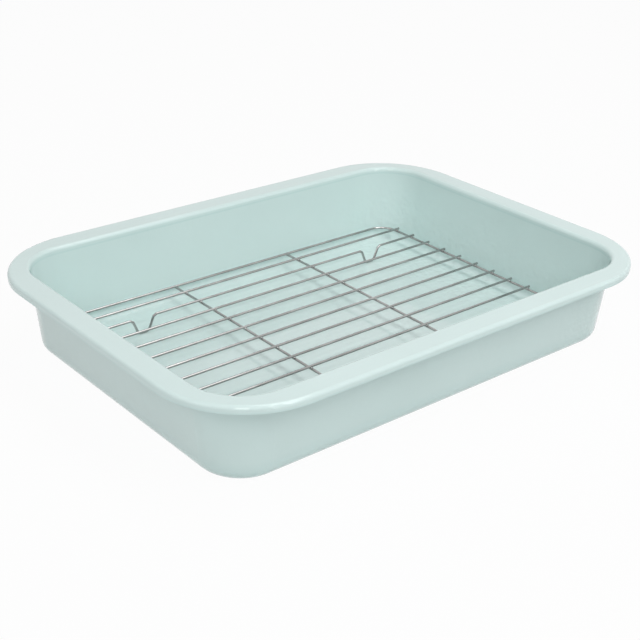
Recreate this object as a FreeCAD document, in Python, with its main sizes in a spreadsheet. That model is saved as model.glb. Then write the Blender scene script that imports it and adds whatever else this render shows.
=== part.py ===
# Baking dish with rack: a drawn and enamelled steel dish with a wide flat rim, and a welded wire rack
# that stands in it on its own bent feet. Millimetres, +Z up, X along the dish, and the origin in the
# middle of the dish's underside.

import FreeCAD, Part
import math
import os
import Sketcher
from FreeCAD import Placement, Rotation, Vector

os.makedirs("parts", exist_ok=True)
doc = FreeCAD.newDocument("baking_dish_with_rack")

# Driving sizes

SIZES = [
    # The dish
    ("rim_length", 400.0),
    ("rim_width", 295.0),
    ("dish_height", 64.0),
    ("rim_corner_radius", 65.0),
    ("flange_width", 17.5),
    ("wall_corner_radius", 37.0),
    ("wall_lean", 6.5),
    ("base_edge_radius", 9.5),
    ("sheet_thickness", 1.2),
    ("lip_height", 5.0),
    ("lip_bend_radius", 2.6),
    ("under_rim_radius", 1.8),
    # The rack
    ("wire_diameter", 1.9),
    ("rack_end_clearance", 9.35),
    ("rack_side_clearance", 11.05),
    ("rack_corner_gap", 14.3),
    ("rack_height", 10.7),
    ("long_wire_count", 11),
    ("outer_wire_gap", 16.4),
    ("cross_wire_count", 2),
    ("weld_sink", 0.1),
    ("wire_overhang", 1.3),
    ("rack_offset_along", 2.0),
    ("rack_offset_across", 8.4),
    # The feet, which are dips in two of the long wires
    ("foot_wire_number", 2),
    ("foot_top_width", 22.0),
    ("foot_bottom_width", 5.5),
    ("foot_bend_run", 2.3),
    ("foot_bend_drop", 1.5),
    ("foot_inset_left", 59.0),
    ("foot_inset_right", 48.0),
]

sheet = doc.addObject("Spreadsheet::Sheet", "sizes")
for row, (alias, number) in enumerate(SIZES, start=1):
    sheet.set(f"A{row}", alias)
    sheet.set(f"B{row}", str(number))
    sheet.setAlias(f"B{row}", alias)
doc.recompute()


def value(expression):
    """The number that an expression on the sheet gives now."""
    return float(sheet.evalExpression(expression))


# Helpers for sketches and bodies

START, END, CENTRE = 1, 2, 3
ORIGIN = (-1, 1)
NEAR = 0.01
bodies = []


def new_body(name):
    """A body whose label is the name of its file."""
    body = doc.addObject("PartDesign::Body", name)
    body.Label = name
    bodies.append(body)
    return body


def new_sketch(body, name, plane, offset="0"):
    """A sketch on one of the body's own origin planes, moved along that plane's normal."""
    sketch = body.newObject("Sketcher::SketchObject", name)
    role = next(item for item in body.Origin.OriginFeatures if item.Role == plane)
    sketch.AttachmentSupport = [(role, "")]
    sketch.MapMode = "FlatFace"
    sketch.AttachmentOffset = Placement(Vector(0, 0, value(offset)), Rotation())
    sketch.setExpression("AttachmentOffset.Base.z", offset)
    return sketch


def constrain(sketch, name, expression, *geometry):
    """A dimension of the sketch, bound to an expression on the sheet."""
    index = sketch.addConstraint(Sketcher.Constraint(*geometry, value(expression)))
    sketch.renameConstraint(index, name)
    sketch.setExpression(f"Constraints.{name}", expression)


def add_rounded_rectangle(sketch, label, length, width, radius):
    """A rounded rectangle about the sketch's origin: four sides and four quarter arcs."""
    half_x = value(length) / 2
    half_y = value(width) / 2
    bend = value(radius)
    corners = [(half_x - bend, bend - half_y), (half_x - bend, half_y - bend),
               (bend - half_x, half_y - bend), (bend - half_x, bend - half_y)]
    first = sketch.GeometryCount
    for quarter, (x, y) in enumerate(corners):
        start = math.radians(90 * quarter - 90)
        end = start + math.pi / 2
        before = corners[quarter - 1]
        out = Vector(math.cos(start), math.sin(start), 0) * bend
        sketch.addGeometry(Part.LineSegment(Vector(*before, 0) + out, Vector(x, y, 0) + out), False)
        circle = Part.Circle(Vector(x, y, 0), Vector(0, 0, 1), bend)
        sketch.addGeometry(Part.ArcOfCircle(circle, start, end), False)
    sides = [first, first + 2, first + 4, first + 6]
    arcs = [first + 1, first + 3, first + 5, first + 7]
    for index in range(4):
        following = sides[(index + 1) % 4]
        sketch.addConstraint(Sketcher.Constraint("Tangent", sides[index], END, arcs[index], START))
        sketch.addConstraint(Sketcher.Constraint("Tangent", arcs[index], END, following, START))
    for index in (0, 2):
        sketch.addConstraint(Sketcher.Constraint("Horizontal", sides[index]))
        sketch.addConstraint(Sketcher.Constraint("Vertical", sides[index + 1]))
    for arc in arcs[1:]:
        sketch.addConstraint(Sketcher.Constraint("Equal", arcs[0], arc))
    sketch.addConstraint(Sketcher.Constraint("Symmetric", arcs[1], CENTRE, arcs[3], CENTRE, *ORIGIN))
    constrain(sketch, f"{label}_radius", radius, "Radius", arcs[0])
    constrain(sketch, f"{label}_length", f"{length} - 2 * ({radius})",
              "DistanceX", arcs[3], CENTRE, arcs[1], CENTRE)
    constrain(sketch, f"{label}_width", f"{width} - 2 * ({radius})",
              "DistanceY", arcs[3], CENTRE, arcs[1], CENTRE)


def add_circle(sketch, label, across, up, radius):
    """A circle whose centre and radius are expressions."""
    centre = Vector(value(across), value(up), 0)
    index = sketch.addGeometry(Part.Circle(centre, Vector(0, 0, 1), value(radius)), False)
    constrain(sketch, f"{label}_radius", radius, "Radius", index)
    constrain(sketch, f"{label}_across", across, "DistanceX", *ORIGIN, index, CENTRE)
    constrain(sketch, f"{label}_up", up, "DistanceY", *ORIGIN, index, CENTRE)


def rim_inset(point):
    """How far a point lies inside the rim's outline, seen from above."""
    bend = value("sizes.rim_corner_radius")
    past_x = abs(point.x) - value("sizes.rim_length") / 2 + bend
    past_y = abs(point.y) - value("sizes.rim_width") / 2 + bend
    return bend - math.hypot(max(past_x, 0), max(past_y, 0)) - min(max(past_x, past_y), 0)


def dress_edges(body, kind, name, size, test):
    """A fillet or chamfer on the edges of the body's last feature whose middle point passes the test."""
    doc.recompute()
    base = body.Tip
    edges = []
    for number, edge in enumerate(base.Shape.Edges, start=1):
        if test(edge.valueAt((edge.FirstParameter + edge.LastParameter) / 2)):
            edges.append(f"Edge{number}")
    dressed = body.newObject(f"PartDesign::{kind}", name)
    dressed.Base = (base, edges)
    dressed.setExpression("Radius" if kind == "Fillet" else "Size", size)
    doc.recompute()


def place_in_dish(body):
    """The rack's pieces stand on the dish's floor, and the rack lies a little off its middle."""
    body.setExpression("Placement.Base.x", "sizes.rack_offset_along")
    body.setExpression("Placement.Base.y", "sizes.rack_offset_across")
    body.setExpression("Placement.Base.z", "sizes.sheet_thickness")


def foot_path_points():
    """The turning points of a long wire's centre-line. Each bend of its two dips is one short straight."""
    half_dip = [
        ("sizes.foot_top_width / 2", LONG_WIRE_HEIGHT),
        ("(sizes.foot_top_width / 2 - sizes.foot_bend_run)", f"{LONG_WIRE_HEIGHT} - sizes.foot_bend_drop"),
        ("(sizes.foot_bottom_width / 2 + sizes.foot_bend_run)", f"{WIRE_RADIUS} + sizes.foot_bend_drop"),
        ("sizes.foot_bottom_width / 2", WIRE_RADIUS),
    ]
    points = [(f"-{HALF_LENGTH}", LONG_WIRE_HEIGHT)]
    left = f"sizes.foot_inset_left - {RACK_LENGTH} / 2"
    right = f"{RACK_LENGTH} / 2 - sizes.foot_inset_right"
    for middle in (left, right):
        points += [(f"{middle} - {out}", up) for out, up in half_dip]
        points += [(f"{middle} + {out}", up) for out, up in reversed(half_dip)]
    points.append((HALF_LENGTH, LONG_WIRE_HEIGHT))
    return points


def draw_path(sketch, points):
    """An open row of straight lines through points whose places are expressions."""
    places = [Vector(value(across), value(up), 0) for across, up in points]
    for index, (across, up) in enumerate(points[:-1]):
        line = sketch.addGeometry(Part.LineSegment(places[index], places[index + 1]), False)
        constrain(sketch, f"point_{index}_across", across, "DistanceX", *ORIGIN, line, START)
        constrain(sketch, f"point_{index}_up", up, "DistanceY", *ORIGIN, line, START)
        if index > 0:
            sketch.addConstraint(Sketcher.Constraint("Coincident", line - 1, END, line, START))
    across, up = points[-1]
    constrain(sketch, "last_across", across, "DistanceX", *ORIGIN, line, END)
    constrain(sketch, "last_up", up, "DistanceY", *ORIGIN, line, END)


# Baking dish: a tub with leaning walls, a flat flange round its mouth and a turned-down lip

WALL_TAPER = "-atan(sizes.wall_lean / sizes.dish_height)"
TUB_LENGTH = "sizes.rim_length - 2 * sizes.flange_width"
TUB_WIDTH = "sizes.rim_width - 2 * sizes.flange_width"

dish = new_body("baking_dish")
height = value("sizes.dish_height")
thickness = value("sizes.sheet_thickness")

mouth_outline = new_sketch(dish, "mouth_outline", "XY_Plane", "sizes.dish_height")
add_rounded_rectangle(mouth_outline, "mouth", TUB_LENGTH, TUB_WIDTH, "sizes.wall_corner_radius")
tub = dish.newObject("PartDesign::Pad", "tub")
tub.Profile = mouth_outline
tub.Reversed = True
tub.setExpression("Length", "sizes.dish_height")
tub.setExpression("TaperAngle", WALL_TAPER)

rim_outline = new_sketch(dish, "rim_outline", "XY_Plane", "sizes.dish_height")
add_rounded_rectangle(rim_outline, "rim", "sizes.rim_length", "sizes.rim_width", "sizes.rim_corner_radius")
flange = dish.newObject("PartDesign::Pad", "flange")
flange.Profile = rim_outline
flange.Reversed = True
flange.setExpression("Length", "sizes.sheet_thickness")
dress_edges(dish, "Chamfer", "under_rim", "sizes.under_rim_radius",
            lambda point: abs(point.z - height + thickness) < NEAR and rim_inset(point) > thickness)

lip_outline = new_sketch(dish, "lip_outline", "XY_Plane", "sizes.dish_height")
add_rounded_rectangle(lip_outline, "outside", "sizes.rim_length", "sizes.rim_width",
                      "sizes.rim_corner_radius")
add_rounded_rectangle(lip_outline, "inside", "sizes.rim_length - 2 * sizes.sheet_thickness",
                      "sizes.rim_width - 2 * sizes.sheet_thickness",
                      "sizes.rim_corner_radius - sizes.sheet_thickness")
lip = dish.newObject("PartDesign::Pad", "lip")
lip.Profile = lip_outline
lip.Reversed = True
lip.setExpression("Length", "sizes.lip_height")
dress_edges(dish, "Chamfer", "lip_bend_inside", "sizes.lip_bend_radius - sizes.sheet_thickness",
            lambda point: abs(point.z - height + thickness) < NEAR
            and abs(rim_inset(point) - thickness) < NEAR)
dress_edges(dish, "Fillet", "lip_bend_outside", "sizes.lip_bend_radius",
            lambda point: abs(point.z - height) < NEAR and abs(rim_inset(point)) < NEAR)

opening_outline = new_sketch(dish, "opening_outline", "XY_Plane", "sizes.dish_height")
add_rounded_rectangle(opening_outline, "opening", f"{TUB_LENGTH} - 2 * sizes.sheet_thickness",
                      f"{TUB_WIDTH} - 2 * sizes.sheet_thickness",
                      "sizes.wall_corner_radius - sizes.sheet_thickness")
cavity = dish.newObject("PartDesign::Pocket", "cavity")
cavity.Profile = opening_outline
cavity.setExpression("Length", "sizes.dish_height - sizes.sheet_thickness")
cavity.setExpression("TaperAngle", WALL_TAPER)
dress_edges(dish, "Fillet", "floor_edge", "sizes.base_edge_radius - sizes.sheet_thickness",
            lambda point: abs(point.z - thickness) < NEAR and rim_inset(point) > thickness)
dress_edges(dish, "Fillet", "mouth_edge", "sizes.under_rim_radius + sizes.sheet_thickness",
            lambda point: abs(point.z - height) < NEAR and rim_inset(point) > value("sizes.flange_width"))
dress_edges(dish, "Fillet", "base_edge", "sizes.base_edge_radius", lambda point: point.z < NEAR)

# Rack frame: one closed loop of wire. The rack's own origin is the floor under its middle.

PROFILE_PLANE = "YZ_Plane"
SIDE_PLANE = "XZ_Plane"
WALL_FOOT = "(sizes.flange_width + sizes.wall_lean + sizes.sheet_thickness)"
END_GAP = f"({WALL_FOOT} + sizes.rack_end_clearance + sizes.wire_diameter / 2)"
SIDE_GAP = f"({WALL_FOOT} + sizes.rack_side_clearance + sizes.wire_diameter / 2)"
RACK_LENGTH = f"(sizes.rim_length - 2 * {END_GAP})"
RACK_WIDTH = f"(sizes.rim_width - 2 * {SIDE_GAP})"
FLOOR_CORNER_RADIUS = "sizes.wall_corner_radius - sizes.wall_lean - sizes.sheet_thickness"
RACK_CORNER_RADIUS = f"({FLOOR_CORNER_RADIUS} - sizes.rack_corner_gap)"
WIRE_RADIUS = "sizes.wire_diameter / 2"

rack_frame = new_body("rack_frame")
loop = new_sketch(rack_frame, "loop", "XY_Plane", "sizes.rack_height")
add_rounded_rectangle(loop, "loop", RACK_LENGTH, RACK_WIDTH, RACK_CORNER_RADIUS)
loop_start = f"{RACK_CORNER_RADIUS} - {RACK_LENGTH} / 2"
loop_section = new_sketch(rack_frame, "loop_section", PROFILE_PLANE, loop_start)
add_circle(loop_section, "wire", f"-{RACK_WIDTH} / 2", "sizes.rack_height", WIRE_RADIUS)
bent_loop = rack_frame.newObject("PartDesign::AdditivePipe", "bent_loop")
bent_loop.Profile = loop_section
bent_loop.Spine = loop
place_in_dish(rack_frame)

# Cross wires: straight wires in the plane of the frame, coped onto its two long sides

for number in range(1, int(value("sizes.cross_wire_count")) + 1):
    across = f"({number} / (sizes.cross_wire_count + 1) - 0.5) * {RACK_LENGTH}"
    cross_wire = new_body(f"rack_cross_wire_{number}")
    section = new_sketch(cross_wire, f"cross_section_{number}", SIDE_PLANE)
    add_circle(section, "wire", across, "sizes.rack_height", WIRE_RADIUS)
    rod = cross_wire.newObject("PartDesign::Pad", f"cross_rod_{number}")
    rod.Profile = section
    rod.Midplane = True
    rod.setExpression("Length", f"{RACK_WIDTH} - sizes.wire_diameter + 2 * sizes.weld_sink")
    cope = new_sketch(cross_wire, f"cope_{number}", PROFILE_PLANE)
    add_circle(cope, "near_side", f"-{RACK_WIDTH} / 2", "sizes.rack_height", WIRE_RADIUS)
    add_circle(cope, "far_side", f"{RACK_WIDTH} / 2", "sizes.rack_height", WIRE_RADIUS)
    coped_ends = cross_wire.newObject("PartDesign::Pocket", f"coped_ends_{number}")
    coped_ends.Profile = cope
    coped_ends.Type = "ThroughAll"
    coped_ends.Midplane = True
    place_in_dish(cross_wire)

# Long wires: pressed a little into the cross wires and the frame's ends, as welding leaves them

LONG_WIRE_HEIGHT = "sizes.rack_height + sizes.wire_diameter - sizes.weld_sink"
HALF_LENGTH = f"({RACK_LENGTH} / 2 + sizes.wire_diameter / 2 + sizes.wire_overhang)"
WIRE_SPREAD = f"({RACK_WIDTH} - 2 * sizes.outer_wire_gap)"
long_count = int(value("sizes.long_wire_count"))
first_foot = int(value("sizes.foot_wire_number"))

for number in range(1, long_count + 1):
    along = f"(({number} - 1) / (sizes.long_wire_count - 1) - 0.5) * {WIRE_SPREAD}"
    long_wire = new_body(f"rack_long_wire_{number:02d}")
    if number in (first_foot, long_count + 1 - first_foot):
        path = new_sketch(long_wire, f"foot_path_{number}", SIDE_PLANE, f"-({along})")
        draw_path(path, foot_path_points())
        section = new_sketch(long_wire, f"long_section_{number}", PROFILE_PLANE, f"-{HALF_LENGTH}")
        add_circle(section, "wire", along, LONG_WIRE_HEIGHT, WIRE_RADIUS)
        rod = long_wire.newObject("PartDesign::AdditivePipe", f"long_rod_{number}")
        rod.Profile = section
        rod.Spine = path
        rod.Transition = "Right corner"
    else:
        section = new_sketch(long_wire, f"long_section_{number}", PROFILE_PLANE)
        add_circle(section, "wire", along, LONG_WIRE_HEIGHT, WIRE_RADIUS)
        rod = long_wire.newObject("PartDesign::Pad", f"long_rod_{number}")
        rod.Profile = section
        rod.Midplane = True
        rod.setExpression("Length", f"2 * {HALF_LENGTH}")
    place_in_dish(long_wire)

# Checks, then one file for each piece

doc.recompute()
for item in doc.Objects:
    if "Invalid" in item.State or "Error" in item.State:
        raise RuntimeError(f"{item.Label} is not up to date: {item.State}")
for body in bodies:
    if body.Shape.isNull() or not body.Shape.isValid():
        raise RuntimeError(f"{body.Label} has no valid shape")
    if len(body.Shape.Solids) != 1:
        raise RuntimeError(f"{body.Label} is not one solid")
    body.Shape.exportStep(f"parts/{body.Label}.step")
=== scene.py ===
import math

import bpy
from mathutils import Matrix, Vector


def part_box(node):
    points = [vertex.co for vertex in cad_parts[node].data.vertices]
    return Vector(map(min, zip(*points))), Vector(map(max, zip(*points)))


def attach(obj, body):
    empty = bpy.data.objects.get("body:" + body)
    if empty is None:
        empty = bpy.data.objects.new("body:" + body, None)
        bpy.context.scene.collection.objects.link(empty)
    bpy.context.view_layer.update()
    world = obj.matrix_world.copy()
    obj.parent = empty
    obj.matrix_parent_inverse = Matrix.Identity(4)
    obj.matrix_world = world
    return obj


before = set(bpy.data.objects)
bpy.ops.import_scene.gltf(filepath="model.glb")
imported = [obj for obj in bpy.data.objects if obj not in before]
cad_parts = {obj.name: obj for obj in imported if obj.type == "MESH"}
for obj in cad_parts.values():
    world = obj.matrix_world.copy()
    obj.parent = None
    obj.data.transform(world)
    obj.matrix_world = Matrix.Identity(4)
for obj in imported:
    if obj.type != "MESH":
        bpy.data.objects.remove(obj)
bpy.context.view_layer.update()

# Camera. A three-quarter view from the front left and above, with a short telephoto lens.
# The photograph's own small tilt is kept. Lengths are in metres, the lens is in millimetres.

camera_azimuth = math.radians(-40.50)
camera_elevation = math.radians(26.04)
camera_roll = math.radians(1.77)
camera_distance = 0.9059
camera_shift_right = 0.0036
camera_shift_up = -0.0130
camera_focal = 69.11

back = Vector((math.sin(camera_azimuth) * math.cos(camera_elevation),
               -math.cos(camera_azimuth) * math.cos(camera_elevation),
               math.sin(camera_elevation)))
level_right = Vector((0, 0, 1)).cross(back).normalized()
level_up = back.cross(level_right)
right = math.cos(camera_roll) * level_right + math.sin(camera_roll) * level_up
up = -math.sin(camera_roll) * level_right + math.cos(camera_roll) * level_up
eye = back * camera_distance - right * camera_shift_right - up * camera_shift_up

bpy.ops.object.select_all(action="DESELECT")
bpy.ops.object.camera_add(location=eye)
camera = bpy.context.object
camera.name = "camera"
camera.matrix_world = Matrix.Translation(eye) @ Matrix((right, up, back)).transposed().to_4x4()
camera.data.lens = camera_focal
camera.data.sensor_width = 36
camera.data.clip_start = 0.05
camera.data.clip_end = 50
bpy.context.scene.camera = camera

# Studio. A pale sweep of paper under the dish, and soft boxes above it, in front of it and on
# both sides. The camera, gloss and glass see the room and the sweep as plain white, which is a
# strength of 1.

bpy.context.scene.view_settings.view_transform = "Standard"

room = bpy.data.worlds.new("studio_room")
bpy.context.scene.world = room
room.use_nodes = True
room_nodes = room.node_tree.nodes
room_links = room.node_tree.links
room_light = room_nodes["Background"]
room_light.inputs["Color"].default_value = (0.98, 0.99, 1.0, 1)
room_light.inputs["Strength"].default_value = 0.14
room_seen = room_nodes.new("ShaderNodeBackground")
room_seen.inputs["Color"].default_value = (1, 1, 1, 1)
room_seen.inputs["Strength"].default_value = 1.0

sweep_size = 6
sweep_drop = 0.0002
bpy.ops.object.select_all(action="DESELECT")
bpy.ops.mesh.primitive_plane_add(size=sweep_size, location=(0, 0, -sweep_drop))
sweep = bpy.context.object
sweep.name = "sweep"
sweep_paper = bpy.data.materials.new("sweep_paper")
sweep_paper.use_nodes = True
paper_nodes = sweep_paper.node_tree.nodes
paper_links = sweep_paper.node_tree.links
paper = paper_nodes["Principled BSDF"]
paper.inputs["Base Color"].default_value = (0.7, 0.72, 0.72, 1)
paper.inputs["Roughness"].default_value = 0.9
paper_white = paper_nodes.new("ShaderNodeEmission")
paper_white.inputs["Strength"].default_value = 1.0


def seen_white(nodes, links, share):
    """How much of the plain white a ray sees: the given share for camera, gloss and glass rays."""
    path = nodes.new("ShaderNodeLightPath")
    camera_or_gloss = nodes.new("ShaderNodeMath")
    camera_or_gloss.operation = "MAXIMUM"
    links.new(path.outputs["Is Camera Ray"], camera_or_gloss.inputs[0])
    links.new(path.outputs["Is Glossy Ray"], camera_or_gloss.inputs[1])
    any_of_three = nodes.new("ShaderNodeMath")
    any_of_three.operation = "MAXIMUM"
    links.new(camera_or_gloss.outputs["Value"], any_of_three.inputs[0])
    links.new(path.outputs["Is Transmission Ray"], any_of_three.inputs[1])
    amount = nodes.new("ShaderNodeMath")
    amount.operation = "MULTIPLY"
    amount.inputs[1].default_value = share
    links.new(any_of_three.outputs["Value"], amount.inputs[0])
    return amount.outputs["Value"]


room_mix = room_nodes.new("ShaderNodeMixShader")
room_links.new(seen_white(room_nodes, room_links, share=1.0), room_mix.inputs["Fac"])
room_links.new(room_light.outputs["Background"], room_mix.inputs[1])
room_links.new(room_seen.outputs["Background"], room_mix.inputs[2])
room_links.new(room_mix.outputs["Shader"], room_nodes["World Output"].inputs["Surface"])

# the sweep keeps a trace of its own paper, so that the dish still throws a faint shadow on it
paper_mix = paper_nodes.new("ShaderNodeMixShader")
paper_links.new(seen_white(paper_nodes, paper_links, share=0.96), paper_mix.inputs["Fac"])
paper_links.new(paper.outputs["BSDF"], paper_mix.inputs[1])
paper_links.new(paper_white.outputs["Emission"], paper_mix.inputs[2])
paper_links.new(paper_mix.outputs["Shader"], paper_nodes["Material Output"].inputs["Surface"])
sweep.data.materials.append(sweep_paper)

# name, place, width and height in metres, power in watts; each one faces the dish
soft_boxes = [
    ("soft_box_top", (0.36, -0.05, 1.3), 1.0, 0.6, 5.6),
    ("soft_box_front", (0.2, -0.92, 1.0), 0.4, 0.8, 5.0),
    ("soft_box_camera_side", (-0.8, -0.9, 0.8), 0.3, 0.8, 4.0),
    ("soft_box_left", (-1.2, 0.0, 0.75), 0.9, 0.9, 3.3),
    ("soft_box_right", (0.9, -0.9, 0.7), 0.9, 0.9, 0.9),
]
for name, place, width, height, power in soft_boxes:
    bpy.ops.object.light_add(type="AREA", location=place)
    soft_box = bpy.context.object
    soft_box.name = name
    soft_box.data.shape = "RECTANGLE"
    soft_box.data.size = width
    soft_box.data.size_y = height
    soft_box.data.energy = power
    soft_box.rotation_mode = "QUATERNION"
    soft_box.rotation_quaternion = Vector(place).to_track_quat("Z", "Y")

# Baking dish. One drawn steel sheet with a rolled down lip, dipped and fired in pale mint glass
# enamel. The glaze is glossy and a little wavy, like orange peel. Its colour carries painted shade
# in the low bends and is painted darker along the lip's edge.

unevenness = bpy.data.node_groups.new("surface_unevenness", "ShaderNodeTree")
for socket in ("Patch Scale", "Smoothest", "Roughest", "Ripple Scale"):
    unevenness.interface.new_socket(socket, in_out="INPUT", socket_type="NodeSocketFloat")
for socket in ("Patches", "Roughness", "Ripple"):
    unevenness.interface.new_socket(socket, in_out="OUTPUT", socket_type="NodeSocketFloat")
asked = unevenness.nodes.new("NodeGroupInput")
given = unevenness.nodes.new("NodeGroupOutput")
place_on_piece = unevenness.nodes.new("ShaderNodeTexCoord")
patches = unevenness.nodes.new("ShaderNodeTexNoise")
patches.inputs["Detail"].default_value = 3.0
patch_range = unevenness.nodes.new("ShaderNodeMapRange")
patch_range.inputs["From Min"].default_value = 0.32
patch_range.inputs["From Max"].default_value = 0.68
gloss_range = unevenness.nodes.new("ShaderNodeMapRange")
ripple = unevenness.nodes.new("ShaderNodeTexNoise")
ripple.inputs["Detail"].default_value = 1.5
for output, end in [
        (place_on_piece.outputs["Object"], patches.inputs["Vector"]),
        (asked.outputs["Patch Scale"], patches.inputs["Scale"]),
        (patches.outputs["Fac"], patch_range.inputs["Value"]),
        (patch_range.outputs["Result"], given.inputs["Patches"]),
        (patch_range.outputs["Result"], gloss_range.inputs["Value"]),
        (asked.outputs["Smoothest"], gloss_range.inputs["To Min"]),
        (asked.outputs["Roughest"], gloss_range.inputs["To Max"]),
        (gloss_range.outputs["Result"], given.inputs["Roughness"]),
        (place_on_piece.outputs["Object"], ripple.inputs["Vector"]),
        (asked.outputs["Ripple Scale"], ripple.inputs["Scale"]),
        (ripple.outputs["Fac"], given.inputs["Ripple"])]:
    unevenness.links.new(output, end)


def uneven(material, patch_scale, smoothest, roughest, ripple_scale):
    """Puts the unevenness of a real surface into a material, at that surface's own scale."""
    node = material.node_tree.nodes.new("ShaderNodeGroup")
    node.node_tree = unevenness
    node.inputs["Patch Scale"].default_value = patch_scale
    node.inputs["Smoothest"].default_value = smoothest
    node.inputs["Roughest"].default_value = roughest
    node.inputs["Ripple Scale"].default_value = ripple_scale
    return node


enamel = bpy.data.materials.new("mint_enamel")
enamel.use_nodes = True
enamel_nodes = enamel.node_tree.nodes
enamel_links = enamel.node_tree.links
glaze = enamel_nodes["Principled BSDF"]
glaze.inputs["IOR"].default_value = 1.36
glaze.inputs["Coat Weight"].default_value = 0.4
glaze.inputs["Coat Roughness"].default_value = 0.02
glaze_finish = uneven(enamel, patch_scale=14, smoothest=0.05, roughest=0.10, ripple_scale=210)
enamel_links.new(glaze_finish.outputs["Roughness"], glaze.inputs["Roughness"])

# colour: a touch deeper and paler in patches
deeper_mint = (0.735, 0.892, 0.870, 1)
paler_mint = (0.760, 0.914, 0.893, 1)
glaze_colour = enamel_nodes.new("ShaderNodeMix")
glaze_colour.data_type = "RGBA"
glaze_colour.inputs["A"].default_value = deeper_mint
glaze_colour.inputs["B"].default_value = paler_mint
enamel_links.new(glaze_finish.outputs["Patches"], glaze_colour.inputs["Factor"])

# painted shade: the colour is made deeper in the low bends between wall and floor, where shade
# falls, and in a narrow band along the lip's lower edge; each pair is a share of the dish's height
# and how much of the deeper colour is mixed in
dish_height = 0.064
bend_shade_and_lip_mint = (0.66, 0.845, 0.825, 1)
bend_shade_and_lip_at = [
    (0.03, 0.0), (0.07, 0.6), (0.11, 0.45), (0.24, 0.0),
    (0.915, 0.0), (0.93, 0.8), (0.945, 0.0),
]
place_on_dish = enamel_nodes.new("ShaderNodeTexCoord")
place_parts = enamel_nodes.new("ShaderNodeSeparateXYZ")
enamel_links.new(place_on_dish.outputs["Object"], place_parts.inputs["Vector"])
bend_shade_and_lip_ramp = enamel_nodes.new("ShaderNodeValToRGB")
bend_shade_and_lip_ramp.color_ramp.elements[1].color = (0, 0, 0, 1)
for height_share, amount in bend_shade_and_lip_at:
    stop = bend_shade_and_lip_ramp.color_ramp.elements.new(height_share)
    stop.color = (amount, amount, amount, 1)
height_on_dish = enamel_nodes.new("ShaderNodeMapRange")
height_on_dish.inputs["From Max"].default_value = dish_height
enamel_links.new(place_parts.outputs["Z"], height_on_dish.inputs["Value"])
enamel_links.new(height_on_dish.outputs["Result"], bend_shade_and_lip_ramp.inputs["Fac"])
# the painted shade of the low bends and the darker band at the lip's edge go into the glaze colour
# here
bend_shade_and_lip_mixed = enamel_nodes.new("ShaderNodeMix")
bend_shade_and_lip_mixed.data_type = "RGBA"
bend_shade_and_lip_mixed.inputs["B"].default_value = bend_shade_and_lip_mint
enamel_links.new(bend_shade_and_lip_ramp.outputs["Color"], bend_shade_and_lip_mixed.inputs["Factor"])
enamel_links.new(glaze_colour.outputs["Result"], bend_shade_and_lip_mixed.inputs["A"])
enamel_links.new(bend_shade_and_lip_mixed.outputs["Result"], glaze.inputs["Base Color"])

# waves: a slow swell of the sheet, and orange peel that is strongest low on the right end wall
swell_weight = 2.0
peel_starts_along, peel_full_along = 0.11, 0.17
peel_starts_height, peel_full_height = 0.056, 0.022
peel_gain = 3.6
peel_everywhere = 0.3
wave_depth = 0.00025
swell = enamel_nodes.new("ShaderNodeTexNoise")
swell.inputs["Scale"].default_value = 26
swell.inputs["Detail"].default_value = 1.0
enamel_links.new(place_on_dish.outputs["Object"], swell.inputs["Vector"])
peel_by_place = enamel_nodes.new("ShaderNodeMapRange")
peel_by_place.inputs["From Min"].default_value = peel_starts_along
peel_by_place.inputs["From Max"].default_value = peel_full_along
enamel_links.new(place_parts.outputs["X"], peel_by_place.inputs["Value"])
peel_by_height = enamel_nodes.new("ShaderNodeMapRange")
peel_by_height.inputs["From Min"].default_value = peel_starts_height
peel_by_height.inputs["From Max"].default_value = peel_full_height
peel_by_height.inputs["To Max"].default_value = peel_gain
enamel_links.new(place_parts.outputs["Z"], peel_by_height.inputs["Value"])
peel_strength = enamel_nodes.new("ShaderNodeMath")
peel_strength.operation = "MULTIPLY_ADD"
peel_strength.inputs[2].default_value = peel_everywhere
enamel_links.new(peel_by_place.outputs["Result"], peel_strength.inputs[0])
enamel_links.new(peel_by_height.outputs["Result"], peel_strength.inputs[1])
peel = enamel_nodes.new("ShaderNodeMath")
peel.operation = "MULTIPLY"
enamel_links.new(glaze_finish.outputs["Ripple"], peel.inputs[0])
enamel_links.new(peel_strength.outputs["Value"], peel.inputs[1])
waves = enamel_nodes.new("ShaderNodeMath")
waves.operation = "MULTIPLY_ADD"
waves.inputs[1].default_value = swell_weight
enamel_links.new(swell.outputs["Fac"], waves.inputs[0])
enamel_links.new(peel.outputs["Value"], waves.inputs[2])
glaze_bump = enamel_nodes.new("ShaderNodeBump")
glaze_bump.inputs["Strength"].default_value = 1.0
glaze_bump.inputs["Distance"].default_value = wave_depth
enamel_links.new(waves.outputs["Value"], glaze_bump.inputs["Height"])
enamel_links.new(glaze_bump.outputs["Normal"], glaze.inputs["Normal"])

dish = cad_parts["baking_dish"]
dish.data.materials.clear()
dish.data.materials.append(enamel)

# Rack wires. Round steel wire, cut to length, two of them bent down into feet, all spot welded
# into one grid and then plated bright. The plating is a shade uneven along the wire.

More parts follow.
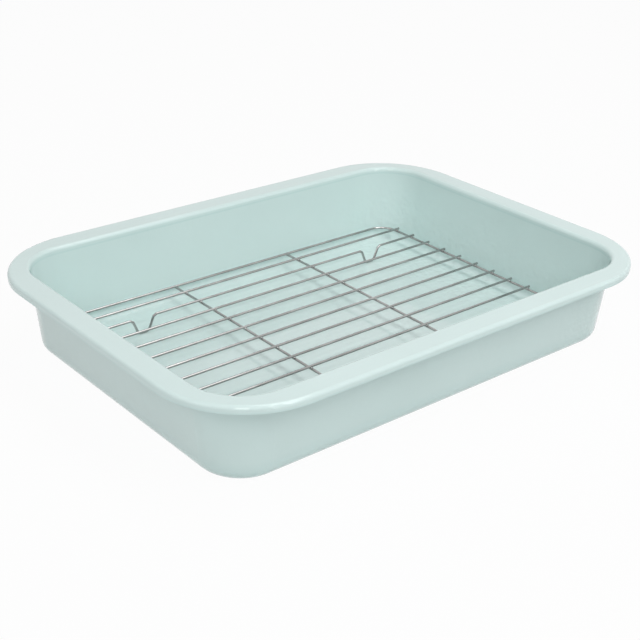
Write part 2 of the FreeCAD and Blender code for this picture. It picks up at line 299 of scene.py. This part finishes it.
plating = bpy.data.materials.new("bright_plating")
plating.use_nodes = True
plating_nodes = plating.node_tree.nodes
plating_links = plating.node_tree.links
plate = plating_nodes["Principled BSDF"]
plate.inputs["Metallic"].default_value = 1.0
plate_finish = uneven(plating, patch_scale=60, smoothest=0.06, roughest=0.13, ripple_scale=1400)
darker_plate = (0.32, 0.315, 0.31, 1)
brighter_plate = (0.42, 0.415, 0.41, 1)
plate_colour = plating_nodes.new("ShaderNodeMix")
plate_colour.data_type = "RGBA"
plate_colour.inputs["A"].default_value = darker_plate
plate_colour.inputs["B"].default_value = brighter_plate
plating_links.new(plate_finish.outputs["Patches"], plate_colour.inputs["Factor"])
plating_links.new(plate_colour.outputs["Result"], plate.inputs["Base Color"])
plating_links.new(plate_finish.outputs["Roughness"], plate.inputs["Roughness"])
plate_bump = plating_nodes.new("ShaderNodeBump")
plate_bump.inputs["Strength"].default_value = 0.6
plate_bump.inputs["Distance"].default_value = 0.00001
plating_links.new(plate_finish.outputs["Ripple"], plate_bump.inputs["Height"])
plating_links.new(plate_bump.outputs["Normal"], plate.inputs["Normal"])

for name, wire in sorted(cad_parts.items()):
    if name.startswith("rack_"):
        wire.data.materials.clear()
        wire.data.materials.append(plating)

# Weld beads. Where two wires cross, the spot weld presses them together and a little fused
# steel swells out of the corners. It is plated with the wires.

frame_low, frame_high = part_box("rack_frame")
wire_radius = (frame_high[2] - frame_low[2]) / 2
frame_height = frame_high[2] - wire_radius
end_places = [frame_low[0] + wire_radius, frame_high[0] - wire_radius]
cross_places = []
for name in ("rack_cross_wire_1", "rack_cross_wire_2"):
    cross_low, cross_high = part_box(name)
    cross_places.append((cross_low[0] + cross_high[0]) / 2)

# one bead where each long wire crosses the frame's ends and the cross wires, and one where each
# cross wire meets the inner edge of the frame's sides
long_wires = sorted(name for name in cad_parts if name.startswith("rack_long_wire_"))
side_weld_inset = 1.9 * wire_radius
bead_places = []
for name in long_wires:
    wire_low, wire_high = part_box(name)
    bead_height = (frame_height + wire_high[2] - wire_radius) / 2
    for along in end_places + cross_places:
        bead_places.append((along, (wire_low[1] + wire_high[1]) / 2, bead_height))
for along in cross_places:
    bead_places.append((along, frame_low[1] + side_weld_inset, frame_height))
    bead_places.append((along, frame_high[1] - side_weld_inset, frame_height))

# one bead is shaped, flat and a little uneven, and each of its copies is turned its own way
bead_radius = 0.00145
bead_flattening = (1.0, 0.9, 0.5)
bead_unevenness = 0.00006
bead_turn = 0.8
bpy.ops.object.select_all(action="DESELECT")
bpy.ops.mesh.primitive_uv_sphere_add(segments=12, ring_count=7, radius=bead_radius)
bead = bpy.context.object
bpy.ops.object.mode_set(mode="EDIT")
bpy.ops.mesh.select_all(action="SELECT")
bpy.ops.transform.resize(value=bead_flattening)
bpy.ops.transform.vertex_random(offset=bead_unevenness, seed=4)
bpy.ops.object.mode_set(mode="OBJECT")
bpy.ops.object.shade_smooth()
beads = [bead]
for _ in bead_places[1:]:
    bpy.ops.object.duplicate()
    beads.append(bpy.context.object)
for number, copy in enumerate(beads):
    copy.location = bead_places[number]
    copy.rotation_euler = (0, 0, bead_turn * number)
    copy.select_set(True)
bpy.context.view_layer.objects.active = bead
bpy.ops.object.join()
weld_beads = bpy.context.object
bpy.ops.object.transform_apply(location=True, rotation=True, scale=True)
weld_beads.name = "rack_weld_beads"
weld_beads.data.materials.append(plating)
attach(weld_beads, "root")
